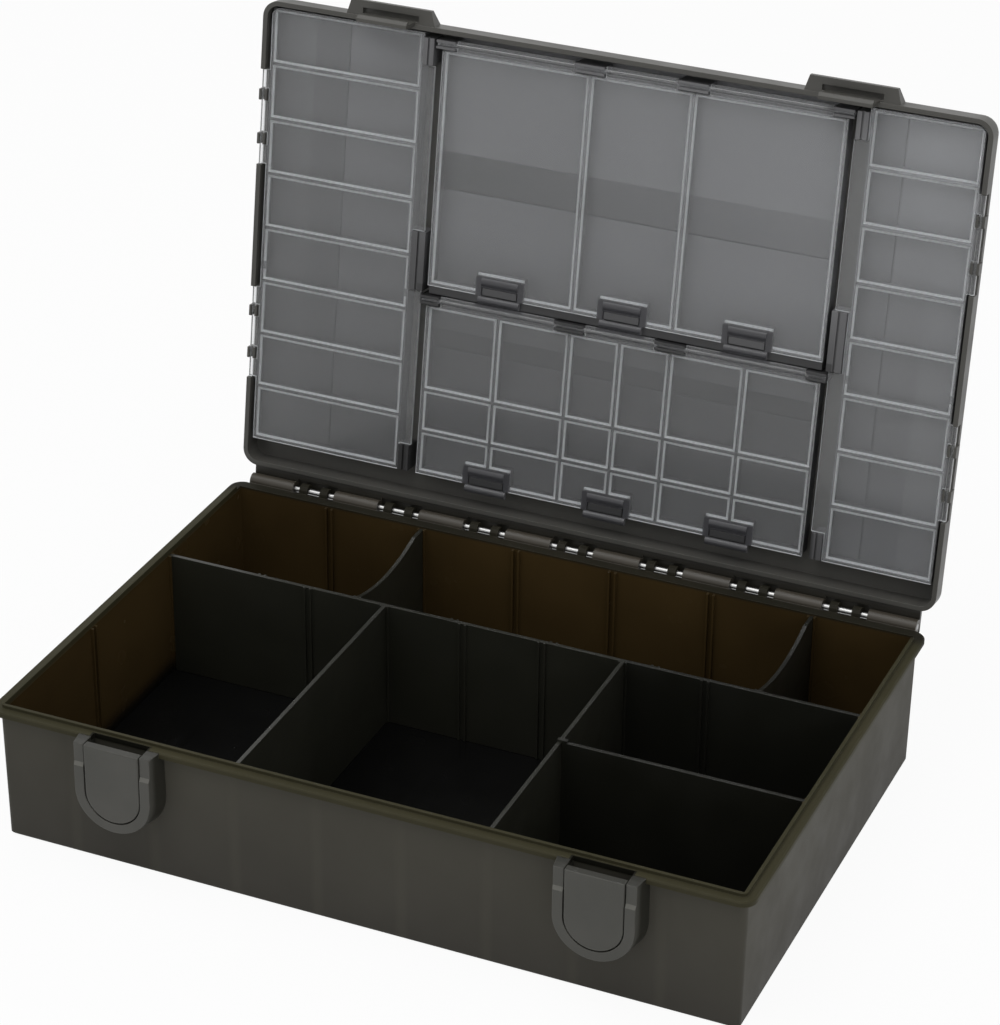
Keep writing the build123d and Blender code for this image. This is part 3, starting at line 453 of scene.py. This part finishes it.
def clear_plastic():
    """Clear, slightly smoky door: polished sheet, ribs and edges frosted and pale with a painted highlight,
    snap loops darker with painted shade.
    """
    material, tree, shader, out = new_material("clear_plastic")
    place = object_place(tree)
    shader.inputs["IOR"].default_value = 1.22
    shader.inputs["Coat Weight"].default_value = 0.65
    shader.inputs["Coat Roughness"].default_value = 0.45
    # Pale colour on the edges and ribs is a painted highlight; they are also rougher and less clear.
    facing = math_node(tree, "ABSOLUTE", dot(tree, facing_way(tree), LID_OUT))
    edges = falling(tree, facing, (0.35, 0.8))
    ribs = falling(tree, lid_place(tree, place, LID_OUT), RIB_TIPS)
    loops = snap_loops(tree, place)
    up = lid_place(tree, place, LID_UP)
    # Less painted highlight on the lower door's rod and on the loops.
    rod = inside(tree, up, (LOWER_ROD - 0.0012, LOWER_ROD + 0.0026))
    clear = most(tree, loops, times(tree, rod, 0.8))
    frost_and_highlight = times(tree, most(tree, edges, ribs), remap(tree, clear, (0.0, 1.0), (1.0, 0.2)))
    # Painted shade on the snap loops: the smoky sheet darkened there.
    smoke_and_loop_shade = mix_colour(tree, loops, (0.84, 0.85, 0.86), (0.11, 0.11, 0.12))
    tree.links.new(mix_colour(tree, frost_and_highlight, smoke_and_loop_shade, (0.72, 0.73, 0.74)), shader.inputs["Base Color"])
    clarity = mix_value(tree, loops, 0.95, 0.6)
    tree.links.new(mix_value(tree, frost_and_highlight, clarity, 0.35), shader.inputs["Transmission Weight"])
    polish = remap(tree, noise(tree, place, 45.0), (0.3, 0.7), (0.05, 0.09))
    tree.links.new(mix_value(tree, frost_and_highlight, polish, 0.35), shader.inputs["Roughness"])
    see_through = tree.nodes.new("ShaderNodeBsdfTransparent")
    see_through.inputs["Color"].default_value = (0.84, 0.85, 0.86, 1.0)
    path = tree.nodes.new("ShaderNodeLightPath")
    shade = tree.nodes.new("ShaderNodeMixShader")
    tree.links.new(path.outputs["Is Shadow Ray"], shade.inputs["Fac"])
    tree.links.new(shader.outputs["BSDF"], shade.inputs[1])
    tree.links.new(see_through.outputs["BSDF"], shade.inputs[2])
    tree.links.new(shade.outputs["Shader"], out.inputs["Surface"])
    return material


def left_cell_shading(tree, along, up):
    """Painted light and shade of the left column: darker towards the hinge and the outer wall, darkest on
    the ramps.
    """
    painted_shading = remap(tree, up, SIDE_SHADE, (0.1, 0.58))
    outer = remap(tree, along, (LEFT_WALL, LEFT_RAMP[0]), (0.26, 0.68))
    ramp_light = remap(tree, inside(tree, along, LEFT_RAMP), (0.0, 1.0), (1.0, 0.6))
    flat = remap(tree, along, (LEFT_RAMP[1] - BLUR / 2, LEFT_RAMP[1] + BLUR / 2), (1.0, 1.4))
    return times(tree, painted_shading, flat, outer, ramp_light)


def right_cell_shading(tree, along, up):
    """Painted light and shade of the right column: darker towards the hinge, with a painted highlight on
    the ramps near the free edge.
    """
    painted_shading = remap(tree, up, RIGHT_SHADE, (0.39, 0.8))
    ramp_light = times(tree, inside(tree, along, RIGHT_RAMP), remap(tree, up, RIGHT_SHADE, (-0.1, 0.35)))
    outer = remap(tree, along, (RIGHT_RAMP[1], RIGHT_RAMP[1] + BLUR), (1.0, 1.22))
    return times(tree, painted_shading, outer, math_node(tree, "ADD", ramp_light, 1.0))


def upper_cell_shading(tree, along, up):
    """Painted light and shade of the three tall cells: paler to the right, with painted shade on a ramp and
    on a strip below them.
    """
    painted_shading = remap(tree, along, CENTRE_SPAN, (0.48, 0.7))
    step = remap(tree, up, UPPER_STEP, (0.9, 1.0))
    foot = remap(tree, up, UPPER_FOOT, (0.6, 1.0), True)
    ramp = times(tree, inside(tree, up, UPPER_RAMP), remap(tree, along, CENTRE_SPAN, (0.8, 0.22)))
    painted_shading = times(tree, painted_shading, step, foot, math_node(tree, "SUBTRACT", 1.0, ramp))
    return mix_value(tree, falling(tree, up, STRIP_TOP), painted_shading, 0.13)


def lower_cell_shading(tree, along, up):
    """Painted light and shade of the six lower columns: darker away from the hinge, with a paler shelf at
    the end.
    """
    painted_shading = remap(tree, up, (LOWER_FOOT, LOWER_SHELF), (0.17, 0.085))
    shelf = remap(tree, along, CENTRE_SPAN, (0.11, 0.175))
    return mix_value(tree, rising(tree, up, (LOWER_SHELF - 2 * BLUR, LOWER_SHELF)), painted_shading, shelf)


def shaded_cell_colour(tree, place, cloud):
    """Grey of all the cells under painted light and shade, each field in its own pattern."""
    grey = mix_colour(tree, cloud, srgb(126, 126, 128), srgb(133, 133, 135))
    along = dot(tree, place, ACROSS)
    up = lid_place(tree, place, LID_UP)
    lower = lower_cell_shading(tree, along, up)
    middle = mix_value(tree, rising(tree, up, DOOR_BORDER), lower, upper_cell_shading(tree, along, up))
    painted_shading = mix_value(tree, rising(tree, along, LEFT_BORDER), left_cell_shading(tree, along, up), middle)
    painted_shading = mix_value(tree, rising(tree, along, RIGHT_BORDER), painted_shading, right_cell_shading(tree, along, up))
    return mix_colour(tree, painted_shading, (0.0, 0.0, 0.0), grey)


def cell_plastic():
    """Moulded walls and ramps of the shallow cells, with painted light and shade."""
    material, tree, shader, _ = new_material("cell_plastic")
    place = object_place(tree)
    moulded_surface(tree, shader, place, MOULD_GRAIN, 0.00001, 0.0003)
    cloud = clouds(tree, place, 18.0)
    tree.links.new(shaded_cell_colour(tree, place, cloud), shader.inputs["Base Color"])
    plastic_shine(tree, shader, drift(tree, place, 70.0, 0.36, 0.46))
    return material


def lid_plastic():
    """Warm dark grey moulding of the lid: browner at the hinge, with painted shadow on the strip behind the
    barrel, painted light and shade on the floors of the cells and painted highlights on the edges.
    """
    material, tree, shader, _ = new_material("lid_plastic")
    place = object_place(tree)
    edge_highlight = moulded_surface(tree, shader, place, MOULD_GRAIN, 0.00001, 0.0004)
    cloud = clouds(tree, place, 18.0)
    panel = mix_colour(tree, cloud, srgb(71, 70, 67), srgb(78, 77, 73))
    back = mix_colour(tree, cloud, srgb(63, 61, 55), srgb(69, 67, 60))
    # Painted shadow on the strip between the hinge barrel and the lid.
    root_shade = mix_colour(tree, cloud, srgb(29, 27, 22), srgb(35, 33, 27))
    barrel = mix_colour(tree, cloud, srgb(57, 53, 46), srgb(64, 59, 51))
    along = dot(tree, place, ACROSS)
    up = lid_place(tree, place, LID_UP)
    height = lid_place(tree, place, LID_OUT)
    colour = mix_colour(tree, rising(tree, up, LID_ROOT, smooth=True), root_shade, panel)
    squares = math_node(tree, "ADD", times(tree, up, up), times(tree, height, height))
    from_pin = math_node(tree, "SQRT", squares)
    on_barrel = falling(tree, from_pin, (BARREL_R + 0.0001, BARREL_R + 0.0004))
    colour = mix_colour(tree, on_barrel, colour, barrel)
    colour = mix_colour(tree, falling(tree, height, LID_BACK), colour, back)
    colour = highlight_edges(tree, edge_highlight, 0.35, colour, srgb(108, 106, 98))
    # The floors of the cells take the painted light and shade of the cells, except in the gaps between the
    # fields.
    gaps = most(tree, inside(tree, along, LEFT_GAP), inside(tree, along, RIGHT_GAP))
    floor = times(tree, inside(tree, height, CELL_FLOOR), inside(tree, up, CELL_FIELD))
    floor = times(tree, floor, math_node(tree, "SUBTRACT", 1.0, gaps))
    colour = mix_colour(tree, floor, colour, shaded_cell_colour(tree, place, cloud))
    tree.links.new(colour, shader.inputs["Base Color"])
    plastic_shine(tree, shader, drift(tree, place, 70.0, 0.36, 0.46), 0.35)
    return material


def latch_plastic():
    """Grey-green moulding of the latches, with painted shade on the upward faces of the shoulders and where
    it meets the wall, and painted highlights on the sloping facets and the edges.
    """
    material, tree, shader, _ = new_material("latch_plastic")
    place = object_place(tree)
    edge_highlight = moulded_surface(tree, shader, place, MOULD_GRAIN, 0.00004, 0.0008)
    cloud = clouds(tree, place, 30.0)
    colour = mix_colour(tree, cloud, srgb(67, 67, 62), srgb(76, 75, 70))
    # Painted shade: the latch colour darkened near the wall and on the upward faces of the shoulders.
    dark = mix_colour(tree, cloud, srgb(36, 36, 31), srgb(43, 42, 36))
    _, y, z = split_place(tree, place)
    root_shade = rising(tree, y, [LATCH_FRONT + depth for depth in LATCH_ROOT], smooth=True)
    rise = dot(tree, facing_way(tree), UPRIGHT)
    top = times(tree, rising(tree, rise, (0.5, 0.8), 0.75), rising(tree, z, SHOULDER))
    colour = mix_colour(tree, most(tree, root_shade, top), colour, dark)
    # Painted highlight on the sloping facets below the shoulders.
    step = times(tree, rising(tree, rise, (0.25, 0.35), 0.6), falling(tree, rise, (0.75, 0.85)))
    step = times(tree, step, falling(tree, z, STEP_TOP))
    colour = mix_colour(tree, step, colour, srgb(112, 111, 105))
    tree.links.new(highlight_edges(tree, edge_highlight, 0.35, colour, srgb(116, 115, 108)), shader.inputs["Base Color"])
    plastic_shine(tree, shader, drift(tree, place, 70.0, 0.36, 0.46), 0.35)
    return material


# Pieces


def dress(names, material):
    """Gives each CAD node one finish."""
    for name in names:
        slots = NODES[name].data.materials
        slots.clear()
        slots.append(material)


def soft_spring(side, steel):
    """Leaf spring behind a latch, which on the real box flattens towards the tray's wall as its button is
    pressed; here a merged, flat-shaded copy of its CAD mesh, fixed to the base.
    """
    node = f"{side}_latch_spring"
    bpy.ops.object.select_all(action="DESELECT")
    spring = bpy.data.objects.new(f"{side}_leaf_spring", NODES[node].data.copy())
    bpy.context.scene.collection.objects.link(spring)
    bpy.context.view_layer.objects.active = spring
    spring.select_set(True)
    bpy.ops.object.mode_set(mode="EDIT")
    bpy.ops.mesh.select_all(action="SELECT")
    bpy.ops.mesh.customdata_custom_splitnormals_clear()
    bpy.ops.mesh.remove_doubles(threshold=0.000001)
    bpy.ops.mesh.faces_shade_flat()
    bpy.ops.object.mode_set(mode="OBJECT")
    spring.data.materials.clear()
    spring.data.materials.append(steel)
    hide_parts(node)
    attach(spring, "base")
    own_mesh(spring)


def finish_pieces():
    """Every node in its finish, and the two springs as merged copies on the base."""
    dress(["base_tray"], tray_plastic())
    dress([n for n in NODES if "divider" in n], divider_plastic())
    dress([n for n in NODES if n.endswith(("latch_housing", "latch_button"))], latch_plastic())
    dress(["lid_panel"], lid_plastic())
    dress([n for n in NODES if n.endswith("cell_walls")], cell_plastic())
    dress([n for n in NODES if n.endswith("_door")], clear_plastic())
    steel = drawn_steel()
    dress([n for n in NODES if n.endswith(("pin", "spring"))], steel)
    for side in ("left", "right"):
        soft_spring(side, steel)


# Stage


def seen_rays(tree):
    """One for a ray that shows the stage: straight to the camera, mirrored or through a clear piece."""
    path = tree.nodes.new("ShaderNodeLightPath")
    names = ("Is Camera Ray", "Is Glossy Ray", "Is Transmission Ray")
    return most(tree, *[path.outputs[name] for name in names])


def blend_shaders(tree, factor, first, second, out):
    """Sends a blend of two shaders to an output."""
    mix = tree.nodes.new("ShaderNodeMixShader")
    tree.links.new(factor, mix.inputs["Fac"])
    tree.links.new(first, mix.inputs[1])
    tree.links.new(second, mix.inputs[2])
    tree.links.new(mix.outputs["Shader"], out.inputs["Surface"])


def pale_floor():
    """Pale floor that reads as white and keeps a soft shadow."""
    bpy.ops.object.select_all(action="DESELECT")
    bpy.ops.mesh.primitive_plane_add(size=12.0, location=(0.0, 0.0, -0.0002))
    floor = bpy.context.object
    floor.name = "floor"
    material = bpy.data.materials.new("floor_white")
    material.use_nodes = True
    tree = material.node_tree
    tree.nodes.clear()
    out = tree.nodes.new("ShaderNodeOutputMaterial")
    paint = tree.nodes.new("ShaderNodeBsdfDiffuse")
    paint.inputs["Color"].default_value = (0.82, 0.82, 0.82, 1.0)
    glow = tree.nodes.new("ShaderNodeEmission")
    glow.inputs["Color"].default_value = WHITE
    glow.inputs["Strength"].default_value = 1.0
    share = times(tree, seen_rays(tree), 0.94)
    blend_shaders(tree, share, paint.outputs["BSDF"], glow.outputs["Emission"], out)
    floor.data.materials.append(material)


def background(tree, strength):
    """White surround of a given strength."""
    node = tree.nodes.new("ShaderNodeBackground")
    node.inputs["Color"].default_value = WHITE
    node.inputs["Strength"].default_value = strength
    return node.outputs["Background"]


def studio_world():
    """Even pale surround, white where it is seen or mirrored."""
    world = bpy.data.worlds.new("studio")
    bpy.context.scene.world = world
    world.use_nodes = True
    tree = world.node_tree
    tree.nodes.clear()
    out = tree.nodes.new("ShaderNodeOutputWorld")
    blend_shaders(tree, seen_rays(tree), background(tree, 0.48), background(tree, 1.0), out)


def softbox(name, place, size, power):
    """Large area lamp aimed at the middle of the box."""
    data = bpy.data.lights.new(name, "AREA")
    data.shape = "RECTANGLE"
    data.size = size[0]
    data.size_y = size[1]
    data.energy = power
    lamp = bpy.data.objects.new(name, data)
    bpy.context.scene.collection.objects.link(lamp)
    lamp.location = place
    aim = Vector((0.0, 0.0, 0.08)) - Vector(place)
    lamp.rotation_euler = aim.to_track_quat("-Z", "Y").to_euler()


def studio_lamps():
    """One broad lamp overhead and a weaker one on the right."""
    softbox("top_softbox", (-0.3, -0.35, 1.7), (1.6, 1.2), 14.0)
    softbox("right_softbox", (1.7, -0.5, 0.9), (1.0, 1.0), 4.0)


def photo_camera():
    """Camera fitted to the straight edges of the box."""
    data = bpy.data.cameras.new("photo_camera")
    data.sensor_fit = "VERTICAL"
    data.sensor_height = SENSOR_HEIGHT
    data.lens = FOCAL_PIXELS * SENSOR_HEIGHT / PHOTO_HEIGHT
    data.clip_end = 50.0
    camera = bpy.data.objects.new("photo_camera", data)
    turn = Matrix((CAMERA_RIGHT, -CAMERA_DOWN, -CAMERA_AHEAD)).transposed().to_4x4()
    camera.matrix_world = Matrix.Translation(CAMERA_PLACE) @ turn
    bpy.context.scene.collection.objects.link(camera)
    bpy.context.scene.camera = camera


bpy.context.scene.view_settings.view_transform = "Standard"
photo_camera()
studio_world()
studio_lamps()
pale_floor()
finish_pieces()

bpy.context.view_layer.update()
